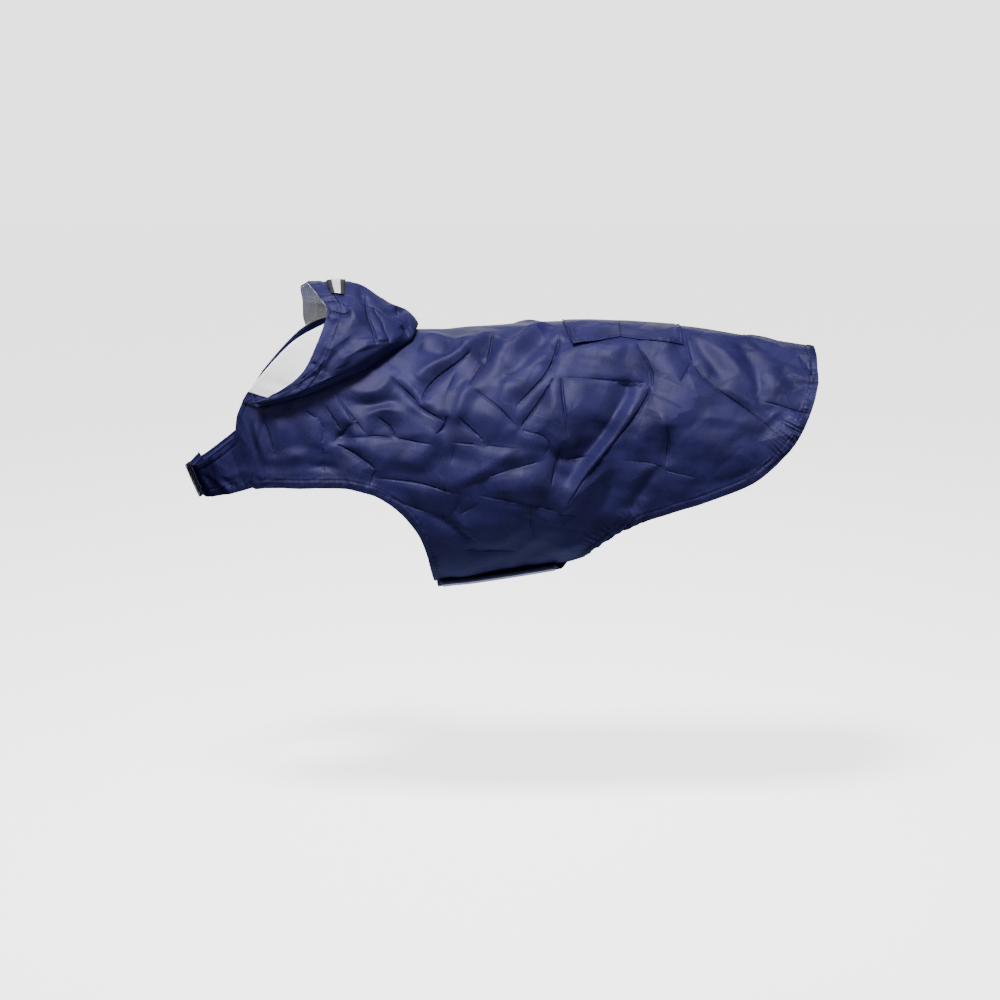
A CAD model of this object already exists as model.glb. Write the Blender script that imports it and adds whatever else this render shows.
"""Hooded raincoat for a large dog, as it looks when worn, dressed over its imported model.

+Z up, the head towards -X, the left side at -Y, the origin on the spine inside the back panel.
"""

import math

import bmesh
import bpy
import numpy as np
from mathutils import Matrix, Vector, kdtree, noise


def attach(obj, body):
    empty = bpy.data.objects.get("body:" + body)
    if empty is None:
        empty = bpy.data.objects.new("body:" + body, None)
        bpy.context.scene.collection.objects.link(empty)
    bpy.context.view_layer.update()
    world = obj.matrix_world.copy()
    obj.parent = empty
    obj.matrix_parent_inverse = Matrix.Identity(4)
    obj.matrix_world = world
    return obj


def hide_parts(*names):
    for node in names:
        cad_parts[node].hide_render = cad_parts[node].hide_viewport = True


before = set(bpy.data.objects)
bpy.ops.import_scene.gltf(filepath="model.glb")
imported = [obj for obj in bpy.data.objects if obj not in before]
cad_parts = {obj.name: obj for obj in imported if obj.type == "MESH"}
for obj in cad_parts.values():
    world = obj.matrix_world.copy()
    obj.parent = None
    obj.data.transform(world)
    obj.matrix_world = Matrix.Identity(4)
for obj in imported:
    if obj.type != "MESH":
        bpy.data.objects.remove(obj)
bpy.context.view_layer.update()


# ---------------------------------------------------------------------------------------------
# Coat body. One panel of thin water-repellent polyester, cut in one piece from the neck edge to
# the rear edge, with a lap on each side that passes under the belly. It hangs over the back in
# soft folds and pressed creases, and its free edges are turned in and stitched.

MM = 0.001
WALL = 0.8 * MM

# The general trunk that the cloth lies on, a row for each station from the neck to the rear: the
# two ends of its upright section and its half width in mm, and how far its underside is drawn in
# (1 is a full ellipse).
TRUNK_COLUMNS = ("top_x", "top_z", "low_x", "low_z", "half_width", "tuck")
TRUNK = (
    (-180, 10, -365, -159, 80, 1.00),
    (-160, 6, -349, -197, 88, 1.00),
    (-140, 3, -325, -243, 96, 1.00),
    (-118, 0, -275, -285, 102, 1.00),
    (-95, -2, -195, -305, 106, 1.00),
    (-68, -2, -115, -303, 109, 1.00),
    (-35, 1, -50, -297, 112, 1.00),
    (0, 3, -5, -291, 113, 1.00),
    (50, 6.5, 50, -282, 111, 1.00),
    (100, 8, 105, -272, 107, 0.95),
    (160, 6, 168, -262, 102, 0.75),
    (220, 1, 232, -262, 99, 0.55),
    (290, -10, 300, -270, 97, 0.40),
    (366, -22, 357, -275, 92, 0.35),
)
LAST_STATION = len(TRUNK) - 1
NECK_CUT = (
    # girth_deg, towards_head_mm
    (0, 0), (30, 12), (60, 24), (90, 18), (103, 8), (118, -12), (145, -9), (180, 0), (260, 0),
)
NECK_CUT_STATIONS = 4.0
NECK_CUT_POWER = 1.5

# The panel's side edge: seam to the chest tab, leg opening, belly lap, hem and rear edge.
BODY_EDGE = (
    # station, girth_deg
    (0.00, 78), (0.90, 90), (1.25, 104), (1.66, 121),
    (2.00, 115), (2.56, 107), (3.15, 101), (3.69, 98), (4.10, 99.5), (4.43, 103), (4.75, 108.5),
    (4.97, 114), (5.20, 122), (5.39, 136), (5.47, 148), (5.53, 163), (5.58, 183), (5.63, 200),
    (8.26, 200), (8.42, 184), (8.60, 171), (8.81, 161), (9.19, 146),
    (9.55, 137), (9.91, 131), (10.46, 124), (11.00, 118), (11.50, 110), (12.00, 100),
    (12.35, 89.5), (12.61, 80), (12.82, 66.5), (12.93, 55), (13.00, 43),
)
BODY_CORE = (
    # station, girth_deg: the smoothed edge that the inner columns follow
    (0.0, 78), (1.6, 106), (3.6, 100), (5.0, 118), (6.8, 150), (8.6, 148), (10.0, 126),
    (11.5, 107), (12.4, 86), (13.0, 60),
)
EDGE_PULL = 2.5
SEAM_END = 1.66
SEAM_UNDER_DEG = 1.2
OVERLAP_LIFT = 4.4 * MM
OVERLAP_START_DEG = (112, 148)
LAP_SAG = 2.7 * MM
LAP_SAG_DEG = (160, 184, 186, 202)

# Creases and folds of the left side. Each row gives the half width in mm, its lean (how much
# broader one side is), the height in mm (a trough is below zero), how crisp it is (2 is soft, 1
# is pressed), and its places in mm: x along the body and the girth round it from the spine.
LEFT_CREASES = (
    (5, 0, -3, 1.4, (-290, 130), (-283, 165), (-273, 206)),
    (6, 0, 3.4, 1.6, (-280, 131), (-273, 165), (-264, 205)),
    (5, 0, -2.8, 1.15, (-270, 134), (-263, 162), (-257, 192)),
    (9, 0, -3.2, 2, (-246, 118), (-240, 150), (-242, 184)),
    (8, 0, 7.4, 2, (-12, 26), (-30, 45), (-60, 62), (-97, 86)),
    (10, 0, -7.2, 1.25, (-34, 57), (-65, 79), (-82, 98), (-89, 119)),
    (8, 0, -5, 1.15, (-8, 33), (-14, 58), (-34, 98)),
    (6, 0, -3.1, 1, (-24, 57), (-18, 68)),
    (8, 0, 6.2, 2, (56, 2), (35, 28), (10, 50), (-8, 28)),
    (13, 0, -7, 2, (58, 18), (45, 45), (20, 75), (-10, 97)),
    (8, 0, -6, 1.25, (68, 40), (63, 60), (52, 87), (20, 125)),
    (9, 0, -7.5, 1.15, (61, 90), (45, 120), (20, 157)),
    (6, 0, -3.8, 1, (70, 93), (72, 120), (78, 162)),
    (5, 0, -3.4, 1, (26, 156), (50, 164), (56, 178), (50, 194)),
    (7, 0, 3, 1.4, (50, 156), (70, 166), (88, 178)),
    (5, 0, -2.6, 1, (62, 188), (80, 196), (104, 191)),
    (7, 0, -3.6, 1.35, (18, 154), (23, 178), (38, 193), (64, 197)),
    (8, 0, -5, 1.15, (69, 180), (65, 200), (59, 228)),
    (8, 0, -7.2, 1.25, (158, 50), (173, 80), (170, 105), (155, 135), (135, 163), (113, 195), (92, 225),
     (76, 253)),
    (8, 0, 9, 1.8, (156, 118), (142, 148), (124, 174), (106, 198), (92, 222), (78, 250), (68, 272)),
    (6, 0, 3.6, 1.4, (121, 210), (102, 227), (84, 247)),
    (12, 0.7, -13, 1.7, (146, 94), (143, 112), (130, 138), (111, 172), (91, 202), (74, 228)),
    (8, 0, -5.6, 1.15, (190, 148), (192, 172), (189, 203)),
    (6, 0, 3.4, 1.8, (181, 133), (190, 156)),
    (14, 0, -3.4, 2, (168, 165), (168, 206)),
    (4, 0, -2, 1, (140, 195), (175, 202), (192, 212), (224, 222)),
    (8, 0, -5.8, 1.8, (123, 210), (124, 240), (119, 270)),
    (8, 0, -4.6, 1.8, (181, 203), (165, 235), (149, 267)),
    (4, 0, -2.8, 1, (216, 38), (221, 65), (232, 85), (250, 102), (277, 122), (300, 142), (322, 167)),
    (6, 0, -2.8, 1, (221, 65), (206, 92)),
    (10, 0, -6.3, 1.8, (277, 26), (292, 65), (296, 100), (300, 130)),
    (9, 0, 4.4, 2, (204, 14), (245, 45), (270, 70), (291, 98)),
    (8, 0, -3.4, 2, (222, 28), (240, 62), (258, 97)),
    (7, 0, 2.9, 1.8, (276, 4), (302, 20), (329, 27)),
    (6, 0, -2.8, 1, (346, 35), (358, 69)),
    (9, 0, -2.9, 2, (319, 60), (341, 92)),
    (8, 0, -3.1, 1.15, (302, 112), (335, 122), (354, 128)),
    (13, 0, -3.4, 2, (308, 136), (320, 146)),
    (4, 0, -2.2, 1, (75, 92), (137, 94), (169, 95)),
    (6, 0, -2.2, 1, (134, 96), (168, 99)),
    (14, 0, -2.1, 2, (236, 83), (227, 135), (227, 183)),
    (12, 0, -1.8, 2, (298, 153), (294, 197)),
    (6, 0, -5, 1.15, (-124, 86), (-103, 108), (-86, 128), (-64, 143)),
    (6, 0, 3, 1.8, (-114, 84), (-94, 108), (-76, 124)),
    (6, 0, -3.8, 1.15, (-60, 138), (-65, 152), (-72, 160)),
    (7, 0, 3.4, 1.8, (-179, 98), (-160, 104), (-140, 103), (-115, 79)),
    (9, 0, -5.2, 1.8, (-179, 112), (-150, 120), (-125, 115), (-113, 117)),
    (6, 0, 3.6, 1.4, (-153, 136), (-135, 127), (-108, 131)),
    (9, 0, -4.2, 1.25, (-138, 137), (-125, 150), (-120, 166)),
    (6, 0, -3, 1, (-177, 165), (-147, 162), (-122, 164), (-100, 169), (-80, 173)),
    (5, 0, -4, 1, (-187, 107), (-172, 130), (-153, 158)),
    (5, 0, -3.4, 1, (-199, 120), (-190, 137), (-181, 153)),
    (5, 0, -2.8, 1, (-221, 129), (-208, 138)),
    (5, 0, -3, 1, (-206, 137), (-200, 154), (-202, 172)),
    (5, 0, -2.8, 1, (-202, 172), (-190, 173)),
    (5, 0, -4.4, 1, (-190, 172), (-169, 145)),
    (5, 0, 3.2, 1.4, (-169, 145), (-176, 127), (-184, 112)),
    (7, 0, -3.6, 1.6, (-185, 167), (-171, 155)),
    (5, 0, -4, 1, (-185, 173), (-164, 187), (-141, 208)),
    (5, 0, -3.4, 1, (-141, 208), (-148, 230)),
    (4, 0, -2.6, 1, (-202, 172), (-201, 212)),
    (14, 0, -2.6, 2, (-130, 206), (-92, 212), (-54, 214)),
    (8, 0, 3.8, 1.4, (-56, 230), (-17, 205), (19, 179)),
    (6, 0, -3.2, 1.15, (-53, 231), (0, 210), (49, 195)),
    (6, 0, -2.5, 1, (-56, 171), (-25, 174), (18, 179)),
    (6, 0, -2.5, 1, (-52, 176), (-54, 197)),
    (6, 0, -3.8, 1.15, (-46, 141), (-35, 152), (-18, 170)),
    (6, 0, -3, 1.15, (-29, 105), (0, 130), (19, 152)),
    (16, 0, -3, 2, (-56, 92), (-40, 98)),
    (7, 0, 3, 1.9, (-34, 96), (-45, 125), (-51, 144)),
    (6, 0, 2.4, 1.4, (20, 179), (39, 193)),
    (5, 0, -3.2, 1, (-139, 219), (-106, 223), (-82, 228), (-57, 236), (-33, 241)),
    (9, 0, -4, 1.15, (-21, 239), (30, 254), (57, 262), (86, 272)),
    (6, 0, 3.1, 1.4, (-18, 246), (28, 261), (56, 269)),
    (8, 0, -4, 1.15, (-142, 235), (-100, 257), (-75, 265), (-60, 275), (-36, 297)),
    (4, 0, -3, 1, (-45, 244), (-52, 265)),
    (4, 0, -2.2, 1, (-24, 251), (-48, 266)),
    (4, 0, 2.8, 1, (-52, 265), (-40, 278), (-18, 309)),
    (5, 0, -3.2, 1, (-82, 265), (-46, 285), (-18, 309)),
    (6, 0, -3.8, 1, (-39, 310), (-20, 315), (18, 318)),
    (8, 0, 2.6, 1.4, (70, 264), (70, 309)),
    (4, 0, -2.2, 1, (36, 260), (38, 302)),
    (9, 0, 2.8, 2, (52, 268), (54, 300)),
    (8, 0, -3.6, 1.4, (-217, 206), (-200, 204), (-180, 210)),
    (6, 0, 2.6, 1.4, (-151, 76), (-136, 83)),
    (6, 0, 2.4, 1.4, (-126, 71), (-130, 83)),
    (8, 0, 4.6, 1.9, (-86, 19), (-55, 37), (-29, 37)),
    (13, 0, -5.2, 2, (-92, 42), (-68, 50), (-42, 52)),
    (16, 0, 3, 2, (-30, 130), (4, 148)),
    (18, 0, 3.4, 2, (18, 212), (62, 222)),
    (16, 0, -3.4, 2, (-90, 190), (-20, 196)),
    (22, 0, 4, 2, (216, 150), (262, 190)),
    (20, 0, 2.9, 2, (108, 60), (140, 66)),
)
# The right side hangs in folds of the same kind, each in its own place and size.
RIGHT_CREASES = (
    (6, 0, 3.2, 1.6, (-284, 138), (-274, 168), (-268, 200)),
    (5, 0, -2.8, 1.15, (-274, 140), (-266, 172), (-262, 198)),
    (9, 0, -3.2, 2, (-248, 124), (-238, 158), (-236, 190)),
    (8, 0, 5.8, 2, (-16, 32), (-40, 52), (-70, 66), (-96, 92)),
    (9, 0, -6.6, 1.25, (-26, 66), (-58, 84), (-80, 104), (-86, 124)),
    (8, 0, -3.8, 1.15, (2, 40), (-10, 64), (-22, 104)),
    (9, 0, 4.6, 2, (42, 8), (22, 36), (-4, 60), (-34, 88)),
    (13, 0, -5.2, 2, (72, 22), (52, 56), (30, 84), (6, 108)),
    (8, 0, -5.4, 1.25, (84, 46), (70, 76), (44, 112), (16, 142)),
    (9, 0, -6.2, 1.15, (48, 122), (30, 146), (0, 180)),
    (6, 0, -3.2, 1, (88, 104), (84, 134), (92, 170)),
    (6, 0, -3.8, 1, (4, 178), (40, 174)),
    (6, 0, -3.5, 1, (40, 174), (54, 206)),
    (6, 0, 3, 1.4, (60, 168), (88, 196)),
    (8, 0, -4.5, 1.15, (72, 198), (60, 222), (58, 246)),
    (8, 0, -6, 1.25, (148, 60), (168, 92), (164, 122), (146, 152), (120, 182), (96, 216), (72, 258)),
    (8, 0, 6.9, 2, (150, 148), (126, 180), (104, 206), (82, 236), (66, 268)),
    (18, 0, -7.5, 2, (124, 126), (102, 158), (82, 196)),
    (6, 0, 3.6, 1.4, (128, 214), (106, 236), (90, 260)),
    (8, 0, -5.6, 1.15, (206, 136), (204, 168), (192, 206)),
    (8, 0, -4.6, 1.8, (170, 198), (160, 232), (140, 262)),
    (4, 0, -2, 1, (150, 188), (186, 198), (226, 214)),
    (8, 0, -5.2, 1.8, (112, 226), (116, 256), (108, 282)),
    (4, 0, -2.8, 1, (204, 34), (216, 66), (236, 92), (262, 112), (286, 138), (314, 172)),
    (10, 0, -5.8, 1.8, (262, 30), (280, 70), (288, 104), (296, 140)),
    (9, 0, 3.4, 2, (196, 18), (232, 50), (256, 80), (274, 106)),
    (7, 0, 2.9, 1.8, (286, 8), (312, 26), (340, 30)),
    (6, 0, -2.8, 1, (340, 44), (352, 80)),
    (8, 0, -3.1, 1.15, (296, 126), (326, 132), (350, 140)),
    (4, 0, -2.2, 1, (62, 88), (118, 90), (160, 92)),
    (14, 0, -2.1, 2, (244, 92), (238, 140), (232, 186)),
    (6, 0, -4.8, 1.15, (-116, 92), (-98, 116), (-84, 136), (-58, 150)),
    (6, 0, -3.5, 1.15, (-52, 150), (-60, 166), (-70, 172)),
    (7, 0, 3.4, 1.8, (-182, 110), (-158, 112), (-134, 102), (-112, 86)),
    (9, 0, -4.8, 1.8, (-176, 126), (-144, 132), (-118, 124)),
    (8, 0, 3.6, 1.4, (-160, 152), (-130, 142), (-102, 148)),
    (9, 0, -4.2, 1.25, (-128, 152), (-118, 172), (-112, 184)),
    (6, 0, -3, 1, (-172, 180), (-140, 176), (-104, 182), (-74, 184)),
    (6, 0, -3.5, 1.15, (-204, 130), (-192, 146), (-188, 162)),
    (8, 0, -4.5, 1.15, (-176, 152), (-184, 168), (-196, 178)),
    (6, 0, -3.5, 1, (-168, 184), (-146, 206), (-128, 222)),
    (15, 0, -4, 2, (-142, 204), (-110, 228), (-84, 252)),
    (8, 0, 4.1, 1.4, (-66, 238), (-26, 218), (14, 192)),
    (6, 0, -3.2, 1.15, (-60, 246), (-8, 222), (42, 208)),
    (6, 0, -2.5, 1, (-48, 184), (-18, 186), (14, 192)),
    (6, 0, -3.8, 1.15, (-38, 150), (-26, 164), (-8, 180)),
    (6, 0, -2.8, 1.15, (-20, 116), (6, 136), (26, 162)),
    (9, 0, -4, 1.15, (-36, 256), (16, 266), (62, 278)),
    (8, 0, -3.8, 1.15, (-136, 246), (-98, 264), (-66, 282), (-40, 304)),
    (6, 0, -2.8, 1, (-40, 268), (-24, 290), (-6, 312)),
    (6, 0, -3.5, 1, (-30, 318), (0, 322), (28, 324)),
    (8, 0, 3.4, 1.9, (-78, 24), (-48, 42), (-24, 40)),
    (14, 0, -3.7, 2, (-88, 50), (-60, 56), (-36, 60)),
    (20, 0, 3.7, 2, (210, 156), (258, 198)),
    (18, 0, 3.4, 2, (24, 220), (66, 232)),
    (16, 0, -3.2, 2, (-84, 196), (-22, 204)),
)

# The chart that the creases are placed on, and how a row becomes relief, in mm and in shares. A
# pressed crease is a sharp one, whose line the cloth's shader sharpens further.
GIRTH_AXIS_HEIGHT = -140 * MM
GIRTH_RADIUS = 125 * MM
CREASE_STEPS = 6
CREASE_ROUND = 0.7
CREASE_GAIN = 1.3
CREASE_SHARP = 0.75
CREASE_REACH = 3.6
CREASE_END_SHARE = 0.12
CREASE_END_POWER = 0.55
LEAN_OUT = 1.5
LEAN_IN = 0.6
PRESSED_CRISP = 1.3
PRESSED_CREASE_REACH = 5.5
PRESSED_REACH = 9.0
PRESSED_FADE = (3.2, 5.6)
PRESSED_RISE = 3.4
MAP_SHIFT = 50.0  # keeps the UV places of signed distances above zero
CRUMPLE_SEED = 3.0

# Where the folds fade out: at the spine, under the hood, below the belly and at the neck edge.
SPINE_CRUMPLE_MM = (0, 40)
SPINE_CREASE_MM = (2, 16)
BEHIND_HOOD_STATIONS = (2.2, 4.0)
BESIDE_HOOD_DEG = (50, 75)
UNDER_BELLY_DEG = (158, 178)
UNDER_BELLY_CALM = 0.85
NECK_EDGE_STATIONS = (0.1, 0.9)


def curve_through(keys, values, at):
    """Read a column of a table with a curve that never overshoots its rows. Where a row holds a
    point for each place in at, each place is read on its own line of points."""
    keys, values = np.asarray(keys, float), np.asarray(values, float)
    step = np.diff(keys)
    span = step.reshape([-1] + [1] * (values.ndim - 1))
    rate = np.diff(values, axis=0) / span
    near, far = 2 * span[1:] + span[:-1], span[1:] + 2 * span[:-1]
    same = rate[:-1] * rate[1:] > 0
    before, after = np.where(same, rate[:-1], 1.0), np.where(same, rate[1:], 1.0)
    inner = np.where(same, (near + far) / (near / before + far / after), 0.0)
    slope = np.concatenate([rate[:1], inner, rate[-1:]])
    at = np.clip(np.asarray(at, float), keys[0], keys[-1])
    i = np.clip(np.searchsorted(keys, at) - 1, 0, len(keys) - 2)
    width = step[i]
    f = (at - keys[i]) / width
    low, high = i, i + 1
    if values.ndim > 1:
        own = np.arange(len(at))
        low, high = (i, own), (i + 1, own)
        f, width = f[:, None], width[:, None]
    return ((1 + 2 * f) * (1 - f) ** 2 * values[low] + f * (1 - f) ** 2 * width * slope[low]
            + f * f * (3 - 2 * f) * values[high] + f * f * (f - 1) * width * slope[high])


def read(rows, at):
    """Read a table of two columns."""
    return curve_through(*zip(*rows), at)


def ramp(value, start, end):
    """Rises smoothly from 0 at start to 1 at end."""
    f = np.clip((value - start) / (end - start), 0, 1)
    return f * f * (3 - 2 * f)


def trunk(station, degrees):
    """The general trunk without folds. Girth angle 0 is the spine, below zero the left side."""
    column = {name: curve_through(range(len(TRUNK)), values, station)
              for name, values in zip(TRUNK_COLUMNS, zip(*TRUNK))}
    angle = np.radians(degrees)
    mid_x = (column["top_x"] + column["low_x"]) / 2
    mid_z = (column["top_z"] + column["low_z"]) / 2
    up_x = (column["top_x"] - column["low_x"]) / 2
    up_z = (column["top_z"] - column["low_z"]) / 2
    side = np.abs(np.sin(angle))
    side = np.where(np.cos(angle) < 0, 1 - column["tuck"] * (1 - side), side)
    length = np.hypot(up_x, up_z)
    fade = np.clip(1 - station / NECK_CUT_STATIONS, 0, 1) ** NECK_CUT_POWER
    cut = read(NECK_CUT, np.abs(degrees)) * fade
    return np.stack([mid_x + np.cos(angle) * up_x - up_z / length * cut,
                     column["half_width"] * side * np.sign(np.sin(angle)),
                     mid_z + np.cos(angle) * up_z + up_x / length * cut], -1) * MM


def outward(surface, u, v, step=0.02):
    """Unit normal of a surface at u, v."""
    along = surface(u + step, v) - surface(u - step, v)
    across = surface(u, v + step) - surface(u, v - step)
    normal = np.cross(along, across)
    return normal / np.linalg.norm(normal, axis=-1, keepdims=True)


def rounded_path(places):
    """More places on a soft line through a crease's own ones."""
    places = np.array(places, float)
    if len(places) == 2:
        return places[0] + np.linspace(0, 1, CREASE_STEPS + 1)[:, None] * (places[1] - places[0])
    ends = np.vstack([2 * places[0] - places[1], places, 2 * places[-1] - places[-2]])
    line = [places[0]]
    for a, b, c, d in zip(ends, ends[1:], ends[2:], ends[3:]):
        for f in np.linspace(0, 1, CREASE_STEPS + 1)[1:]:
            line.append(0.5 * (2 * b + (c - a) * f + (2 * a - 5 * b + 4 * c - d) * f ** 2
                               + (3 * (b - c) + d - a) * f ** 3))
    return np.array(line)


def off_line(line, x, y):
    """Distance from a line, the share of the way along it, and the side (-1 to 1) for each place."""
    away = np.full(x.shape, np.inf)
    place = np.zeros_like(x)
    side = np.zeros_like(x)
    for i, (start, chord) in enumerate(zip(line, np.diff(line, axis=0))):
        f = np.clip(((x - start[0]) * chord[0] + (y - start[1]) * chord[1]) / (chord @ chord), 0, 1)
        gap_x = x - start[0] - f * chord[0]
        gap_y = y - start[1] - f * chord[1]
        gap = np.hypot(gap_x, gap_y)
        turn = (chord[0] * gap_y - chord[1] * gap_x) / (np.hypot(*chord) * np.maximum(gap, 1e-6))
        closer = gap < away
        place = np.where(closer, (i + f) / (len(line) - 1), place)
        side = np.where(closer, turn, side)
        away = np.minimum(gap, away)
    return away, place, side


def crease_reliefs(x, y, creases):
    """Height from a table of creases at places (x, y) of its own chart, and the signed distance
    from the nearest pressed line with the line's strength and number, which the cloth's shader
    sharpens."""
    height = np.zeros_like(x)
    line_gap = np.full(x.shape, PRESSED_REACH)
    strength = np.zeros_like(x)
    number = np.zeros_like(x)
    for row, (half_width, lean, rise, crisp, *places) in enumerate(creases):
        pressed = crisp < PRESSED_CRISP
        line = rounded_path(places)
        reach_widths = PRESSED_CREASE_REACH if pressed else CREASE_REACH
        reach = half_width * reach_widths * (1 + LEAN_OUT * abs(lean))
        low, high = line.min(0) - reach, line.max(0) + reach
        near = (x > low[0]) & (x < high[0]) & (y > low[1]) & (y < high[1])
        if not near.any():
            continue
        away, place, side = off_line(line, x[near], y[near])
        leaning = side * lean
        width = half_width * np.where(leaning > 0, 1 + LEAN_OUT * leaning, 1 + LEAN_IN * leaning)
        taper = CREASE_END_SHARE + (1 - CREASE_END_SHARE) * np.sin(np.pi * place) ** CREASE_END_POWER
        reached = (np.hypot(away, CREASE_ROUND) - CREASE_ROUND) / width
        height[near] += CREASE_GAIN * rise * taper * np.exp(-reached ** (CREASE_SHARP * crisp))
        if pressed:
            nearest = away < np.abs(line_gap[near])
            line_gap[near] = np.where(nearest, away * np.where(side < 0, -1, 1), line_gap[near])
            strength[near] = np.where(nearest, taper * rise / PRESSED_RISE, strength[near])
            number[near] = np.where(nearest, row + 1, number[near])
    return height, line_gap, strength * (1 - ramp(np.abs(line_gap), *PRESSED_FADE)), number


def pressed_map(line_gap, strength, number):
    """UV places of the pressed lines: shifted distance and strength. A line ends where the next
    place on the grid lies on the far side of another line."""
    strength = strength.copy()
    rows, columns = number.shape
    for down, over in ((0, 1), (1, 0), (1, 1), (1, -1)):
        one = (slice(0, rows - down), slice(max(0, -over), columns - max(0, over)))
        other = (slice(down, rows), slice(max(0, over), columns + min(0, over)))
        crossed = (number[one] != number[other]) & (line_gap[one] * line_gap[other] < 0)
        strength[one][crossed] = 0
        strength[other][crossed] = 0
    return np.stack([line_gap + MAP_SHIFT, strength], -1)


def wander(x, y, z):
    """Slow even noise from about -0.5 to 0.5, with its lumps about one unit apart."""
    x, y = np.broadcast_arrays(x, y)
    flat = [noise.noise(Vector((a, b, z))) for a, b in zip(x.ravel(), y.ravel())]
    return np.array(flat).reshape(x.shape)


# Slow waves of the cloth, and small facets that meet in straight creases, a row for each direction
# they run in. The facets stray a little from straight, and come and go in patches.
SLOW_WAVE = (75, 3.0)  # spacing and height in mm
FACETS = (
    # heading_deg, spacing_mm, height_mm, seed
    (24, 62, 1.1, 1.0), (68, 48, 1.0, 2.0), (118, 70, 1.2, 3.0), (149, 41, 0.7, 4.0),
)
STRAY_MM = 60.0
STRAY_SHARE = 0.9
FACET_CRISP = 0.985
PATCH_SPACINGS = 1.6
PATCH_NOISE = (-0.04, 0.20)
PATCH_SEED = 20


def crumple(x, y, seed, size=1.0):
    """Height in mm of slow waves and of flat facets with pressed edges between them."""
    spacing, height = SLOW_WAVE
    total = height * size * wander(x / spacing, y / spacing, seed)
    for heading, spacing, height, row_seed in FACETS:
        turn = math.radians(heading)
        stray = STRAY_SHARE * wander(x / STRAY_MM, y / STRAY_MM, seed + row_seed)
        phase = (x * math.cos(turn) + y * math.sin(turn)) / spacing + stray
        flat_wave = np.arcsin(FACET_CRISP * np.sin(2 * np.pi * phase)) * 2 / np.pi
        patch_mm = PATCH_SPACINGS * spacing
        patch = wander(x / patch_mm, y / patch_mm, PATCH_SEED + seed + row_seed)
        total += height * size * flat_wave * ramp(patch, *PATCH_NOISE)
    return total


def fold_reliefs(point, station, degrees, calm=1.0):
    """Height of the folds and creases over the trunk in metres, and its pressed lines."""
    x = point[..., 0] / MM
    girth = np.arctan2(np.abs(point[..., 1]), point[..., 2] - GIRTH_AXIS_HEIGHT) * GIRTH_RADIUS / MM
    left = point[..., 1] < 0
    height, line_gap, strength, number = (
        np.where(left, one, other) for one, other in
        zip(crease_reliefs(x, girth, LEFT_CREASES), crease_reliefs(x, girth, RIGHT_CREASES)))
    small = crumple(x, np.where(left, -girth, girth), CRUMPLE_SEED) * ramp(girth, *SPINE_CRUMPLE_MM)
    size = np.abs(degrees)
    bare = ramp(station, *BEHIND_HOOD_STATIONS) + ramp(size, *BESIDE_HOOD_DEG)
    fade = np.clip(bare, 0, 1) * (1 - UNDER_BELLY_CALM * ramp(size, *UNDER_BELLY_DEG)) * calm
    fade = fade * ramp(station, *NECK_EDGE_STATIONS)
    height = (height * ramp(girth, *SPINE_CREASE_MM) + small) * fade * MM
    return height, (line_gap, strength * fade, number * np.where(left, 1, -1))


def coat(station, degrees, lift=0.0, calm=1.0):
    """The coat's outer surface: the trunk with its folds, moved out by lift."""
    station = np.asarray(station, float) + np.zeros_like(degrees)
    degrees = np.asarray(degrees, float) + np.zeros_like(station)
    point = trunk(station, degrees)
    normal = outward(trunk, station, degrees)
    return point + normal * (lift + fold_reliefs(point, station, degrees, calm)[0])[..., None]


def overlap_lift(degrees):
    return OVERLAP_LIFT * ramp(degrees, *OVERLAP_START_DEG)


def belly_lift(degrees):
    """The right belly lap lies over the left one, and sags a little beside its free end."""
    sag = ramp(degrees, *LAP_SAG_DEG[:2]) * (1 - ramp(degrees, *LAP_SAG_DEG[2:]))
    return overlap_lift(degrees) + LAP_SAG * sag


def body_degrees(station, across):
    """Girth angle on the body panel: across runs from -1 at its left edge to 1 at its right edge."""
    core = read(BODY_CORE, station)
    pull = np.sign(across) * np.abs(across) ** EDGE_PULL
    return across * core + (read(BODY_EDGE, station) - core) * pull


def sheet_normals(points):
    """Unit normals of a grid of points."""
    normal = np.cross(np.gradient(points, axis=0), np.gradient(points, axis=1))
    return normal / np.maximum(np.linalg.norm(normal, axis=-1, keepdims=True), 1e-12)


def from_border(points, border):
    """Distance in mm from a border line, and the way along it in mm."""
    arc = np.concatenate([[0], np.cumsum(np.linalg.norm(np.diff(border, axis=0), axis=1))])
    tangent = np.gradient(border, axis=0)
    tangent /= np.linalg.norm(tangent, axis=1, keepdims=True)
    tree = kdtree.KDTree(len(border))
    for i, place in enumerate(border):
        tree.insert(place, i)
    tree.balance()
    flat = points.reshape(-1, 3)
    nearest = np.array([tree.find(place)[1] for place in flat])
    apart = flat - border[nearest]
    onward = (apart * tangent[nearest]).sum(1)
    away = np.linalg.norm(apart - onward[:, None] * tangent[nearest], axis=1)
    shape = points.shape[:-1]
    return away.reshape(shape) / MM, (arc[nearest] + onward).reshape(shape) / MM


# A turned and stitched edge, in mm and shares of its width.
HEM_WIDTH_MM = 9.0
HEM_STEP_MM = (0.6, 1.6)
STITCH_SINK_HALF_MM = 1.3
PUCKER_STRAY_MM = 21.0
PUCKER_STRAY = 1.4
PUCKER_EVEN = 0.55
PUCKER_UNEVEN = 0.9
PUCKER_MIDDLE_SHARE = 0.75
PUCKER_REACH_SHARE = 0.8


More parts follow.
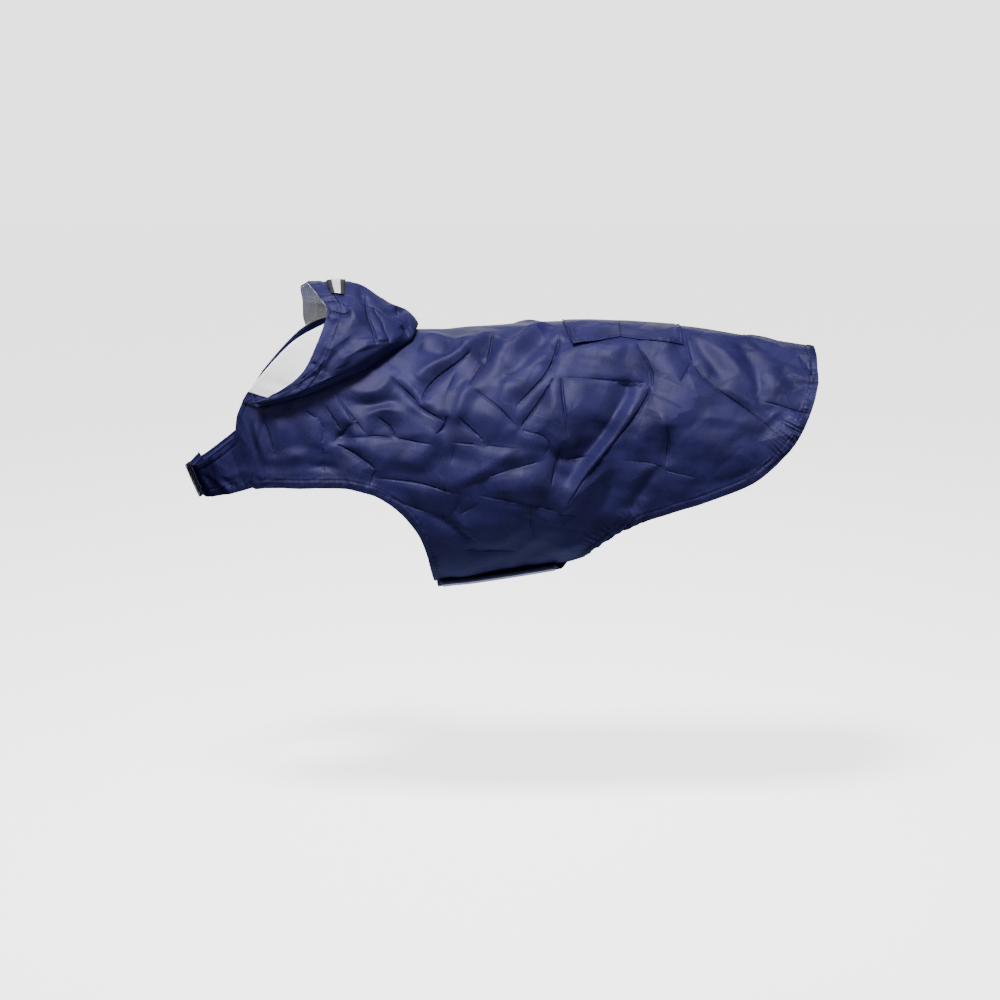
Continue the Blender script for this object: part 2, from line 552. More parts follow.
def hem_relief(away, run, width=HEM_WIDTH_MM, thick=0.55, pucker=0.7, spacing=8.5, seed=1.0):
    """Height in mm of a turned and stitched edge: a raised band, a pulled-in stitch line, puckers."""
    band = thick * (1 - ramp(away, width - HEM_STEP_MM[0], width + HEM_STEP_MM[1]))
    groove = -np.exp(-((away - width) / STITCH_SINK_HALF_MM) ** 2)
    stray = wander(run / PUCKER_STRAY_MM, seed, 0.0)
    wave = (np.sin(2 * np.pi * (run / spacing + PUCKER_STRAY * stray))
            * (PUCKER_EVEN + PUCKER_UNEVEN * stray))
    close = np.exp(-((away - width * PUCKER_MIDDLE_SHARE) / (width * PUCKER_REACH_SHARE)) ** 2)
    return band + groove + pucker * wave * close


# Pleats of the body's edge where hidden elastic draws it up. The first two rows are the deep ones.
BODY_PLEATS = (
    # from and to station, height_mm, spacing_mm, reach_mm, seed
    (8.95, 9.95, 3.6, 8.0, 15.0, 2.0),
    (12.25, 12.70, 3.0, 8.5, 12.0, 3.0),
    (3.0, 3.7, 0.9, 8.0, 9.0, 4.0),
)
DEEP_PLEATS = 2
PLEAT_STRAY_MM = 14.0
PLEAT_STRAY = 0.8
PLEAT_ROUND = 0.8
PLEAT_SINK = 0.6
PLEAT_EVEN = 0.8
PLEAT_UNEVEN = 0.8
PLEATS_FADE_MM = (8, 6)
OUTERMOST_WEIGHT = 40


def gathered(away, run, start, end, height, spacing, reach, seed):
    """Short pleats standing at right angles to an edge that elastic draws up."""
    outside, inside = PLEATS_FADE_MM
    within = (ramp(run, start - outside, start + inside)
              * (1 - ramp(run, end - inside, end + outside)))
    stray = wander(run / PLEAT_STRAY_MM, seed, 5.0)
    wave = np.abs(np.sin(np.pi * (run / spacing + PLEAT_STRAY * stray))) ** PLEAT_ROUND - PLEAT_SINK
    uneven = PLEAT_EVEN + PLEAT_UNEVEN * stray
    return height * within * wave * np.exp(-(away / reach) ** 2) * uneven


def way_along(run, stations, across, station):
    """The way along the body's edge, in mm, at a station: that of the outermost place there."""
    inside = 1 - np.abs(across)
    return float(run[np.argmin(np.abs(stations - station) + OUTERMOST_WEIGHT * inside)])


def to_linear(hex_colour):
    """Linear colour from an sRGB hex string."""
    part = [int(hex_colour[i:i + 2], 16) / 255 for i in (0, 2, 4)]
    return tuple(c / 12.92 if c <= 0.04045 else ((c + 0.055) / 1.055) ** 2.4 for c in part) + (1.0,)


def set_inputs(tree, sockets, values):
    """Give a node's inputs their values or links."""
    for key, value in values.items():
        if isinstance(value, bpy.types.NodeSocket):
            tree.links.new(value, sockets[key])
        else:
            sockets[key].default_value = value


def add_node(tree, kind, output, inputs=None, **settings):
    """Add a shader node with its settings and inputs, and give the named output."""
    made = tree.nodes.new(kind)
    for key, value in settings.items():
        setattr(made, key, value)
    set_inputs(tree, made.inputs, inputs or {})
    return made.outputs[output]


def add_map(tree, layer):
    return add_node(tree, "ShaderNodeUVMap", "UV", uv_map=layer)


def add_maths(tree, operation, *values):
    return add_node(tree, "ShaderNodeMath", "Value", dict(enumerate(values)), operation=operation)


def add_noise(tree, place, scale, **inputs):
    return add_node(tree, "ShaderNodeTexNoise", "Fac", {"Vector": place, "Scale": scale, **inputs})


def add_ramp(tree, value, start, end, falls=False, curve="SMOOTHSTEP"):
    """A value that rises smoothly from 0 at start to 1 at end, or falls from 1 to 0."""
    return add_node(tree, "ShaderNodeMapRange", "Result",
                    {"Value": value, "From Min": start, "From Max": end, "To Min": float(falls),
                     "To Max": float(not falls)}, interpolation_type=curve)


def add_blend(tree, share, colour, other):
    """A colour that turns to the other as share goes from 0 to 1."""
    return add_node(tree, "ShaderNodeMix", "Result", {"Factor": share, "A": colour, "B": other},
                    data_type="RGBA")


def add_bump(tree, height, distance, below=None, strength=1.0):
    """Relief of a distance in metres, laid over the one below it."""
    over = {} if below is None else {"Normal": below}
    return add_node(tree, "ShaderNodeBump", "Normal",
                    {"Strength": strength, "Distance": distance, "Height": height, **over})


def new_finish(name):
    """A new material, its node tree and its shader's inputs."""
    made = bpy.data.materials.new(name)
    made.use_nodes = True
    return made, made.node_tree, made.node_tree.nodes["Principled BSDF"].inputs


# The cloth's weave, slubs, clouds of tone and stitches, in mm, with the depth of relief in metres.
WEAVE_MM = 1.1
WAVE_UNIT = 2 * math.pi / 20
WEAVE_RELIEF = 0.00011
CLOUD_MM = 38
CLOUDS_SHARE = 0.45
SHADE_STOPS = (0.40, 0.60)
SLUB_MM = 1.7
SLUB_RELIEF = 1.6
STITCH_PITCH_MM = 3.4
STITCH_AWAY_MM = 7.4
STITCH_SHARE = 0.66
THREAD_HALF_MM = 0.45
THREAD_RELIEF = 0.0003
# Puckers beside a stitched edge, and pleats where it is drawn up: length, spacing, height and reach.
HEM_PUCKERS = (16.0, 4.6, 0.8, 8.0)
DRAWN_PUCKERS = (34.0, 4.4, 3.4, 26.0)
WHOLE_HEM = (-1000.0, 5000.0)
PUCKERS_FADE_MM = 10
PRESSED_HALF_MM = 2.5
PRESSED_RELIEF = 0.0015
# Flat facets that meet in pressed edges: spacing in mm, slope, shape, and heading in degrees.
FACET_LAYERS = ((62.0, 0.09, "MANHATTAN", 24), (33.0, 0.075, "CHEBYCHEV", -32))
FACET_PATCHES = (0.42, 0.58)


def coated_polyester(name, light, dark, thread_colour, drawn_up=()):
    """Thin plain-woven polyester, dyed navy and finished with a water-repellent coat: a soft
    satin gleam, a fine even weave, slight clouds of tone, puckered hems, and short pleats where
    elastic draws the hem up (drawn_up gives the ways along it)."""
    made, tree, shader = new_finish(name)
    place, hem_place = add_map(tree, "cloth_mm"), add_map(tree, "hem_mm")
    clouds = add_noise(tree, place, 1 / CLOUD_MM, Detail=3.0, Roughness=0.55)
    slub = add_noise(tree, place, 1 / SLUB_MM, Detail=2.0)
    mottle = add_node(tree, "ShaderNodeMix", "Result", {"Factor": CLOUDS_SHARE, "A": clouds, "B": slub})
    shade = add_node(tree, "ShaderNodeValToRGB", "Color", {"Fac": mottle})
    for stop, share, colour in zip(shade.node.color_ramp.elements, SHADE_STOPS, (dark, light)):
        stop.position = share
        stop.color = to_linear(colour)
    warp, weft = (add_node(tree, "ShaderNodeTexWave", "Fac",
                           {"Vector": place, "Scale": WAVE_UNIT / WEAVE_MM, "Distortion": 0.0},
                           bands_direction=way) for way in "XY")
    height = add_maths(tree, "MULTIPLY_ADD", slub, SLUB_RELIEF, add_maths(tree, "ADD", warp, weft))
    bump = add_bump(tree, height, WEAVE_RELIEF, strength=0.5)

    hem = add_node(tree, "ShaderNodeSeparateXYZ", "X", {"Vector": hem_place}).node.outputs
    on_seam = add_maths(tree, "COMPARE", hem["Y"], MAP_SHIFT, THREAD_HALF_MM)
    phase = add_maths(tree, "FRACT", add_maths(tree, "MULTIPLY", hem["X"], 1 / STITCH_PITCH_MM))
    thread = add_maths(tree, "MULTIPLY", on_seam, add_maths(tree, "LESS_THAN", phase, STITCH_SHARE))
    bump = add_bump(tree, thread, THREAD_RELIEF, bump)
    off_seam = add_maths(tree, "ABSOLUTE", add_maths(tree, "SUBTRACT", hem["Y"], MAP_SHIFT))
    for (across_mm, apart_mm, high_mm, reach), (start, end) in (
            (HEM_PUCKERS, WHOLE_HEM), *((DRAWN_PUCKERS, ends) for ends in drawn_up)):
        drawn = add_node(tree, "ShaderNodeMapping", "Vector",
                         {"Vector": hem_place, "Scale": (1 / apart_mm, 1 / across_mm, 1.0)})
        pucker = add_noise(tree, drawn, 1.0, Detail=0.5)
        close = add_ramp(tree, off_seam, 0.0, reach, falls=True)
        after = add_ramp(tree, hem["X"], start - PUCKERS_FADE_MM, start + PUCKERS_FADE_MM)
        before = add_ramp(tree, hem["X"], end - PUCKERS_FADE_MM, end + PUCKERS_FADE_MM, falls=True)
        within = add_maths(tree, "MULTIPLY", add_maths(tree, "MULTIPLY", after, before), close)
        bump = add_bump(tree, add_maths(tree, "MULTIPLY", pucker, within), high_mm * 2 * MM, bump)

    pressed = add_node(tree, "ShaderNodeSeparateXYZ", "X",
                       {"Vector": add_map(tree, "press_mm")}).node.outputs
    gap = add_maths(tree, "ABSOLUTE", add_maths(tree, "SUBTRACT", pressed["X"], MAP_SHIFT))
    line = add_ramp(tree, gap, 0.0, PRESSED_HALF_MM, falls=True, curve="SMOOTHERSTEP")
    bump = add_bump(tree, add_maths(tree, "MULTIPLY", line, pressed["Y"]), PRESSED_RELIEF, bump)
    for spacing, slope, metric, heading in FACET_LAYERS:
        turned = add_node(tree, "ShaderNodeMapping", "Vector",
                          {"Vector": place, "Rotation": (0, 0, math.radians(heading))})
        cells = add_node(tree, "ShaderNodeTexVoronoi", "Distance",
                         {"Vector": turned, "Scale": 1 / spacing},
                         feature="F1", distance=metric, voronoi_dimensions="2D")
        patch = add_ramp(tree, add_noise(tree, place, 0.5 / spacing, Detail=1.0), *FACET_PATCHES)
        bump = add_bump(tree, add_maths(tree, "MULTIPLY", cells, patch), slope * spacing * MM, bump)

    sewn = add_blend(tree, thread, shade, to_linear(thread_colour))
    gleam = add_node(tree, "ShaderNodeMapRange", "Result",
                     {"Value": clouds, "To Min": 0.50, "To Max": 0.60})
    set_inputs(tree, shader, {"Base Color": sewn, "Roughness": gleam, "Normal": bump,
                              "Specular IOR Level": 0.24, "Specular Tint": (0.82, 0.79, 1.0, 1.0)})
    return made


def stitch_chart(away, run, stitched=STITCH_AWAY_MM):
    """UV places in mm of a stitched edge: the way along it, and the shifted distance from its seam."""
    return np.stack([run, away - stitched + MAP_SHIFT], -1)


def make_sheet(name, points, chart, wall, cloth, node, hem=None, press=None):
    """A cloth piece: a grid moved to its points, with its chart in mm as its UV map, given its
    thickness inwards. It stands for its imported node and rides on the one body."""
    rows, columns = points.shape[:2]
    maker = bmesh.new()
    bmesh.ops.create_grid(maker, x_segments=rows - 1, y_segments=columns - 1, size=1.0)
    maker.verts.ensure_lookup_table()
    charts = [(maker.loops.layers.uv.new(layer), places) for layer, places in
              (("cloth_mm", chart), ("hem_mm", hem), ("press_mm", press))]
    place = {}
    for vertex in maker.verts:
        row = round((vertex.co.x + 1) / 2 * (rows - 1))
        column = round((vertex.co.y + 1) / 2 * (columns - 1))
        place[vertex.index] = (row, column)
        vertex.co = points[row, column]
    for face in maker.faces:
        face.smooth = True
        for loop in face.loops:
            for layer, places in charts:
                if places is not None:
                    loop[layer].uv = places[place[loop.vert.index]]
    mesh = bpy.data.meshes.new(name)
    maker.to_mesh(mesh)
    maker.free()
    piece = bpy.data.objects.new(name, mesh)
    bpy.context.scene.collection.objects.link(piece)
    thickness = piece.modifiers.new("wall", "SOLIDIFY")
    thickness.thickness = wall
    thickness.offset = -1.0
    thickness.use_even_offset = False
    thickness.use_quality_normals = True
    mesh.materials.append(cloth)
    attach(piece, "root")
    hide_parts(node)
    return piece


def even_steps(density, count, fine_count=2001):
    """Places from 0 to 1, closer together where density is higher."""
    fine = np.linspace(0, 1, fine_count)
    walk = np.concatenate([[0], np.cumsum((density(fine[1:]) + density(fine[:-1])) / 2)])
    return np.interp(np.linspace(0, walk[-1], count), walk, fine)


def trunk_chart(station, degrees):
    """UV places in mm: x along the body, girth round it."""
    return np.stack([trunk(station, degrees)[..., 0], np.radians(degrees) * GIRTH_RADIUS], -1) / MM


BODY_ROWS, BODY_COLUMNS = 238, 204
FINE_STATIONS = 2601
EDGE_WEIGHT = 1.1
SEAM_CELLS = 30
REAR_CORNER_STATIONS = (12.5, 12.75)
REAR_CORNER_DENSITY = 1.6
LEFT_EDGE_SHARE = (0.025, 0.045)
RIGHT_EDGE_SHARE = (0.955, 0.975)
EDGE_DENSITY = 2.4
PAST_SPINE_SHARE = (0.50, 0.56)
LEFT_DENSITY = 0.9
EDGE_CALM = 0.6
EDGE_CALM_SHARE = (0.90, 0.99)
SEAM_CALM_STATIONS = 0.6


def across_density(f):
    """The body's grid is closer at both of its edges, and over the left side."""
    edges = ramp(f, *RIGHT_EDGE_SHARE) + 1 - ramp(f, *LEFT_EDGE_SHARE)
    return 1 + EDGE_DENSITY * edges + LEFT_DENSITY * (1 - ramp(f, *PAST_SPINE_SHARE))


fine_station = np.linspace(SEAM_END, LAST_STATION, FINE_STATIONS)
flank_x = curve_through(range(len(TRUNK)), [(row[0] + 3 * row[2]) / 4 for row in TRUNK], fine_station)
edge_deg = read(BODY_EDGE, fine_station) * EDGE_WEIGHT
rear_fine = 1 + REAR_CORNER_DENSITY * ramp(fine_station[1:], *REAR_CORNER_STATIONS)
walk = np.concatenate([[0], np.cumsum(np.hypot(np.diff(flank_x), np.diff(edge_deg)) * rear_fine)])
behind_seam = np.interp(np.linspace(0, walk[-1], BODY_ROWS - SEAM_CELLS + 1), walk, fine_station)
body_stations = np.concatenate([np.linspace(0, SEAM_END, SEAM_CELLS), behind_seam[1:]])
body_across = even_steps(across_density, BODY_COLUMNS) * 2 - 1

grid_station, grid_across = np.meshgrid(body_stations, body_across, indexing="ij")
grid_degrees = body_degrees(grid_station, grid_across)
near_edge = (ramp(np.abs(grid_across), *EDGE_CALM_SHARE)
             * ramp(grid_station, SEAM_END, SEAM_END + SEAM_CALM_STATIONS))
body_calm = 1 - EDGE_CALM * near_edge
body_points = coat(grid_station, grid_degrees, belly_lift(grid_degrees), body_calm)
body_press = pressed_map(*fold_reliefs(trunk(grid_station, grid_degrees), grid_station, grid_degrees,
                                       body_calm)[1])
body_chart = trunk_chart(grid_station, grid_degrees)
body_hem = np.zeros(body_points.shape[:2] + (2,))
seam_rows = body_stations >= SEAM_END
half_rear = slice(1, len(body_across) // 2)
for side, edge_column in ((-1, 0), (1, -1)):
    rear_edge = body_points[-1, ::-side][half_rear]
    border = np.concatenate([body_points[seam_rows, edge_column], rear_edge])
    half = grid_across * side >= 0
    away, run = from_border(body_points[half], border)
    relief = hem_relief(away, run, seed=3.0 + side)
    pleat_ways = [[way_along(run, grid_station[half], grid_across[half], station) for station in row[:2]]
                  for row in BODY_PLEATS]
    for (start, end), row in zip(pleat_ways, BODY_PLEATS):
        relief += gathered(away, run, start, end, *row[2:])
    normals = sheet_normals(body_points)[half]
    body_points[half] += normals * (relief * MM)[..., None]
    body_hem[half] = stitch_chart(away, run)

NAVY = ("211f4c", "16153a", "0c0c22")
navy_cloth = coated_polyester("navy_coated_polyester", *NAVY)
# The right edge's ways serve for both edges here.
drawn_cloth = coated_polyester("navy_coated_polyester_drawn_up", *NAVY, pleat_ways[:DEEP_PLEATS])
coat_body = make_sheet("coat_body_cloth", body_points, body_chart, WALL, drawn_cloth, "coat_body",
                       body_hem, body_press)


# ---------------------------------------------------------------------------------------------
# Chest tabs. Two strips of the same cloth, sewn to the front of the body, that lap over each
# other across the chest. The right one lies outside and closes with hook and loop beneath.

SEAM_DEPTH = 0.95 * MM
SEAM_UNDER_SHARE = (0.026, 0.045)
TAB_END_DEG = 203.0
BOX_FROM_NECK_MM = 26.0
BOX_FROM_END_MM = 62.0
BOX_HALF_MM = (6.0, 8.0)
BOX_REACH_MM = 3.0
TAB_EDGE = (
    # girth_deg, station of the lower edge
    (121, 1.71), (128, 1.53), (136, 1.36), (154, 1.10), (180, 1.00), (260, 1.00),
)
TAB_GRID = (64, 110)
TAB_HEMS = (
    # width_mm, pucker_mm, seed, for the lower edge, the neck edge and the end
    (HEM_WIDTH_MM, 0.7, 7.0), (6.0, 0.3, 9.0), (5.0, 0.1, 11.0),
)


def tab_places(down, across):
    """Station and girth angle: down runs from the neck edge to the lower edge, across from the
    seam to the end."""
    seam_deg = read(BODY_EDGE, down * SEAM_END) - SEAM_UNDER_DEG
    low_deg = TAB_EDGE[0][0] + (TAB_END_DEG - TAB_EDGE[0][0]) * across
    return down * read(TAB_EDGE, low_deg), seam_deg + (TAB_END_DEG - seam_deg) * across


def chest_tab(down, across, side, lift=0.0):
    station, degrees = tab_places(down, across)
    lift = lift + (overlap_lift(degrees) if side > 0 else 0.0)
    under = SEAM_DEPTH * (1 - ramp(across, *SEAM_UNDER_SHARE))
    return coat(station, side * degrees, lift - under)


def tab_chart(down, across, side):
    station, degrees = tab_places(down, across)
    return trunk_chart(station, side * degrees)


tab_down, tab_across = (np.linspace(0, 1, count) for count in TAB_GRID)
for side, name in ((-1, "chest_tab_left"), (1, "chest_tab_right")):
    grid_down, grid_over = np.meshgrid(tab_down, np.sort(side * tab_across), indexing="ij")
    share = np.abs(grid_over)
    points = chest_tab(grid_down, share, side)
    edges = (points[-1, ::side], points[0], points[:, 0 if side < 0 else -1])
    ways = [from_border(points, edge) for edge in edges]
    relief = sum(hem_relief(*way, width=width, pucker=pucker, seed=seed + side)
                 for way, (width, pucker, seed) in zip(ways, TAB_HEMS))
    relief *= ramp(share, SEAM_UNDER_SHARE[1], 2 * SEAM_UNDER_SHARE[1])
    points += sheet_normals(points) * (relief * MM)[..., None]
    (away, run), (neck_away, _), (end_away, _) = ways
    hem = stitch_chart(away, run)
    off_box = np.maximum(np.abs(neck_away - BOX_FROM_NECK_MM) - BOX_HALF_MM[0],
                         np.abs(end_away - BOX_FROM_END_MM) - BOX_HALF_MM[1])
    boxed = (np.abs(off_box) < BOX_REACH_MM) & (np.abs(off_box) < np.abs(away - STITCH_AWAY_MM))
    hem[boxed] = stitch_chart(off_box, neck_away + end_away, 0.0)[boxed]
    tab = make_sheet(name + "_cloth", points, tab_chart(grid_down, share, side), WALL, navy_cloth,
                     name, hem)


# ---------------------------------------------------------------------------------------------
# Hood. Two side panels and a centre strip of the same cloth, thrown back so that the hood lies
# on the shoulders: from the neck seam it runs back over the coat, turns at a soft fold, and comes
# forward again to its free mouth, which has a drawn casing.

# The right half of the hood without creases, a row for each rib from the crown to the corner: the
# neck seam and the fold on the coat, and the back, slope, ridge and mouth of its outside, in mm.
HOOD_COLUMNS = ("neck_deg", "fold_station", "fold_deg",
                "back_x", "back_y", "back_z", "slope_x", "slope_y", "slope_z",
                "ridge_x", "ridge_y", "ridge_z", "mouth_x", "mouth_y", "mouth_z",
                "right_forward")
HOOD = (
    (0, 3.90, 0, -106, 0, 19, -128, 0, 29, -168, 0, 55, -223, 0, 53, 0),
    (24, 3.84, 18, -104, 33, 6, -125, 40, 18, -169, 38, 43, -209, 37, 43, 26),
    (40, 3.55, 26, -112, 52, -3, -132, 62, 7, -170, 66, 27, -197, 62, 26, 38),
    (52, 3.20, 34, -126, 70, -12, -146, 80, -4, -178, 84, 6, -202, 79, 5, 34),
    (63, 2.72, 45.5, -150, 86, -26, -166, 94, -20, -190, 96, -13, -209, 89, -13, 24),
    (74, 2.20, 57.5, -179, 96, -42, -190, 101, -39, -206, 102, -36, -222, 97, -38, 13),
    (84, 1.63, 70.5, -213, 101, -57, -219, 104, -56, -230, 104, -53, -241, 100, -55, 5),
    (93, 0.98, 84, -249, 99, -71, -253, 101, -69, -259, 101, -68, -266, 98, -69, 0),
    (100, 0.26, 98, -287, 90, -80, -289, 92, -79, -293, 92, -78, -297, 91, -79, 0),
)
STRIP_RIB = 1.0
SEAM_GAP_RIB = 0.012
CORNER_RIB = 7.6
HOOD_PATH_KEYS = (0.0, 0.17, 0.34, 0.42, 0.47, 0.55, 0.66, 0.82, 1.0)
HOOD_ON_COAT = (
    # share of the way from neck edge to fold, set back from there in mm, height over the coat in mm
    (0.0, 0.0, 1.2), (0.5, 0.0, 1.2), (1.0, 3.5, 1.2), (1.0, -1.0, 3.4), (1.0, -2.0, 6.2),
)
HOOD_OUTSIDE = ("back", "slope", "ridge", "mouth")
RIB_MM = 27.0
ALONG_MM = 245.0

# Creases of the hood's outer side: half width in mm, lean, height in mm, how crisp, and places
# given as (rib, along). Ribs below zero are the left side.
HOOD_CREASES = (
    (8, 0, -4.2, 1.15, (-0.65, 0.759), (-1.53, 0.74), (-2.43, 0.684), (-3.15, 0.62)),
    (8, 0, -4, 1.15, (-1.0, 0.73), (-1.79, 0.666), (-2.87, 0.571)),
    (7, 0, 3.4, 1.8, (-1.2, 0.70), (-2.34, 0.655), (-2.95, 0.60)),
    (6, 0, 2.8, 1.8, (-0.2, 0.66), (-0.56, 0.615)),
    (8, 0, -3.5, 1.15, (-1.30, 0.60), (-1.55, 0.50)),
    (8, 0, -4.2, 1.15, (-0.30, 0.625), (-0.55, 0.60)),
    (8, 0, -2, 1.15, (-1.5, 0.87), (-1.75, 0.83)),
    (8, 0, 2.6, 1.4, (-1.58, 0.88), (-2.0, 0.81), (-2.5, 0.755)),
    (6, 0, -3, 1.15, (-1.9, 0.985), (-2.1, 0.86), (-2.0, 0.82)),
    (6, 0, -2.2, 1.15, (-2.3, 0.99), (-2.45, 0.90)),
    (6, 0, -2, 1.15, (-1.45, 0.99), (-1.4, 0.91)),
    (6, 0, -2.4, 1.4, (-0.2, 0.79), (-0.84, 0.775), (-1.33, 0.75)),
    (12, 0, -3, 2, (-3.4, 0.78), (-3.9, 0.68)),
    (9, 0, 2.8, 2, (-3.0, 0.70), (-3.6, 0.63)),
    (9, 0, -2.3, 2, (-4.4, 0.80), (-4.9, 0.70), (-5.3, 0.62)),
    (8, 0, 2.3, 2, (-4.0, 0.72), (-4.6, 0.64)),
    (8, 0, -2.2, 1.15, (-5.6, 0.83), (-6.2, 0.72)),
    (6, 0, -1.9, 1.15, (-4.6, 0.96), (-4.7, 0.89)),
    (6, 0, -1.9, 1.15, (-5.3, 0.95), (-5.5, 0.87)),
    (10, 0, -2.5, 2, (0.1, 0.84), (0.3, 0.70)),
    (8, 0, -3.8, 1.15, (0.9, 0.75), (1.7, 0.73), (2.6, 0.67), (3.3, 0.60)),
    (8, 0, -3.5, 1.15, (1.3, 0.70), (2.1, 0.64), (3.0, 0.56)),
    (7, 0, 3.2, 1.8, (1.4, 0.68), (2.6, 0.63)),
    (8, 0, -2.8, 1.15, (2.0, 0.98), (2.3, 0.85), (2.5, 0.80)),
    (8, 0, 2.6, 1.4, (1.7, 0.88), (2.4, 0.78)),
    (11, 0, -2.8, 2, (3.6, 0.80), (4.2, 0.68)),
    (9, 0, 2.5, 2, (3.2, 0.72), (3.9, 0.62)),
    (8, 0, -2.3, 2, (4.7, 0.82), (5.4, 0.66)),
    (6, 0, -2, 1.15, (4.9, 0.96), (5.1, 0.88)),
)
HOOD_CRUMPLE = 0.6
HOOD_CRUMPLE_SEED = 41.0
OUTSIDE_ALONG = (0.45, 0.56)
CALM_CORNER_RIBS = (5.5, 7.2)
CORNER_CALM = 0.9


def hood(rib, along):
    """The hood without creases: rib is below zero on the left, along runs from neck to mouth. It
    is rounded over the centre strip."""
    shape = np.broadcast(rib, along).shape
    rib = np.broadcast_to(rib, shape).ravel()
    along = np.broadcast_to(along, shape).ravel()
    side = np.where(rib < 0, -1.0, 1.0)
    size = np.abs(rib)
    crowned = np.where(size < STRIP_RIB, size ** 2 * (2 - size), size)
    column = {name: curve_through(range(len(HOOD)), values,
                                  size if name.endswith(("_y", "_deg")) else crowned)
              for name, values in zip(HOOD_COLUMNS, zip(*HOOD))}
    reach = np.linalg.norm(trunk(column["fold_station"], column["fold_deg"])
                           - trunk(0 * rib, column["neck_deg"]), axis=-1) / MM
    path = []
    for share, setback, height in HOOD_ON_COAT:
        part_way = share - setback / reach
        station = column["fold_station"] * part_way
        degrees = side * (column["neck_deg"] + (column["fold_deg"] - column["neck_deg"]) * part_way)
        path.append(coat(station, degrees, height * MM))
    for name in HOOD_OUTSIDE:
        forward = column["right_forward"] * (side > 0) * (name == "mouth")
        path.append(np.stack([column[name + "_x"] - forward, side * column[name + "_y"],
                              column[name + "_z"]], -1) * MM)
    return curve_through(HOOD_PATH_KEYS, np.stack(path), along).reshape(shape + (3,))


def hood_grid(ribs, alongs):
    """The hood's points, chart and pressed lines over a grid of ribs and places along them."""
    grid_rib, grid_along = np.meshgrid(ribs, alongs, indexing="ij")
    points = hood(grid_rib, grid_along)
    normal = sheet_normals(points)
    x, y = grid_rib * RIB_MM, grid_along * ALONG_MM
    creases = [row[:4] + tuple((rib * RIB_MM, along * ALONG_MM) for rib, along in row[4:])
               for row in HOOD_CREASES]
    height, line_gap, strength, number = crease_reliefs(x, y, creases)
    fade = (ramp(grid_along, *OUTSIDE_ALONG)
            * (1 - CORNER_CALM * ramp(np.abs(grid_rib), *CALM_CORNER_RIBS)))
    height = (height + crumple(x, y, HOOD_CRUMPLE_SEED, HOOD_CRUMPLE)) * fade
    return (points + normal * (height * MM)[..., None], np.stack([x, y], -1),
            pressed_map(line_gap, strength * fade, number))


CASING_MM = 17.0
CASING_SEAM_MM = 15.5
CASING_FROM = 0.6
INSIDE_DENSITY = 0.5
OUTSIDE_DENSITY = 0.5
OUTSIDE_FROM = 0.3
FOLD_DENSITY = 1.2
FOLD_FROM = (0.36, 0.42)
FOLD_TO = (0.52, 0.6)
CASING_DENSITY = 0.6
CASING_CLOSER = (0.88, 0.92)
STRIP_SEAM_HALF_MM = 1.6
STRIP_SEAM_SINK = 0.8 * MM
ALONG_COUNT, SIDE_COUNT, STRIP_COUNT = 150, 170, 60


def along_density(f):
    """The hood's grid is closer on its outside, closest round the fold and at the casing."""
    return (INSIDE_DENSITY + OUTSIDE_DENSITY * (f > OUTSIDE_FROM)
            + FOLD_DENSITY * ramp(f, *FOLD_FROM) * (1 - ramp(f, *FOLD_TO))
            + CASING_DENSITY * ramp(f, *CASING_CLOSER))


hood_alongs = even_steps(along_density, ALONG_COUNT)
side_ribs = STRIP_RIB + SEAM_GAP_RIB + (CORNER_RIB - STRIP_RIB) * np.linspace(0, 1, SIDE_COUNT)
strip_ribs = np.linspace(-STRIP_RIB, STRIP_RIB, STRIP_COUNT)
hood_ribs = np.concatenate([-side_ribs[::-1], strip_ribs, side_ribs])
hood_points, hood_chart, hood_press = hood_grid(hood_ribs, hood_alongs)
hood_normals = sheet_normals(hood_points)
mouth_away, mouth_run = from_border(hood_points, hood_points[:, -1])
hood_hem = stitch_chart(mouth_away, mouth_run, CASING_SEAM_MM)
casing = hem_relief(mouth_away, mouth_run, width=CASING_MM, thick=0.6, spacing=15.0, seed=21.0)
casing = np.where(hood_alongs > CASING_FROM, casing, 0.0)
hood_points += hood_normals * (casing * MM)[..., None]
strip_seam = np.exp(-((np.abs(hood_ribs) - STRIP_RIB) * RIB_MM / STRIP_SEAM_HALF_MM) ** 2)
hood_points -= hood_normals * STRIP_SEAM_SINK * strip_seam[:, None, None]

past_strip = SIDE_COUNT + STRIP_COUNT
for name, rows, flat, area in (
        ("hood_left", slice(0, SIDE_COUNT), (0.20, 0.24), 0.025),
        ("hood_centre", slice(SIDE_COUNT, past_strip), (0.075, 0.26), 0.0178),
        ("hood_right", slice(past_strip, None), (0.20, 0.24), 0.025)):
    panel = make_sheet(name + "_cloth", hood_points[rows], hood_chart[rows], WALL, navy_cloth, name,
                       hood_hem[rows], hood_press[rows])


# ---------------------------------------------------------------------------------------------
# Hood lining. A bag of fine white polyester mesh, sewn in at the neck seam and the casing, that
# shows in the hood's open mouth.

LINING_WALL = 0.5 * MM
LINING_GAP = 1.3 * MM
LINING_SNUG = 0.75
LINING_SNUG_RIBS = (3.2, 5.0)
LINING_END_RIB = 6.8
HOLE_PITCH_MM = 2.2
HOLE_EDGE = (0.20, 0.34)
HOLE_RELIEF = 0.0003


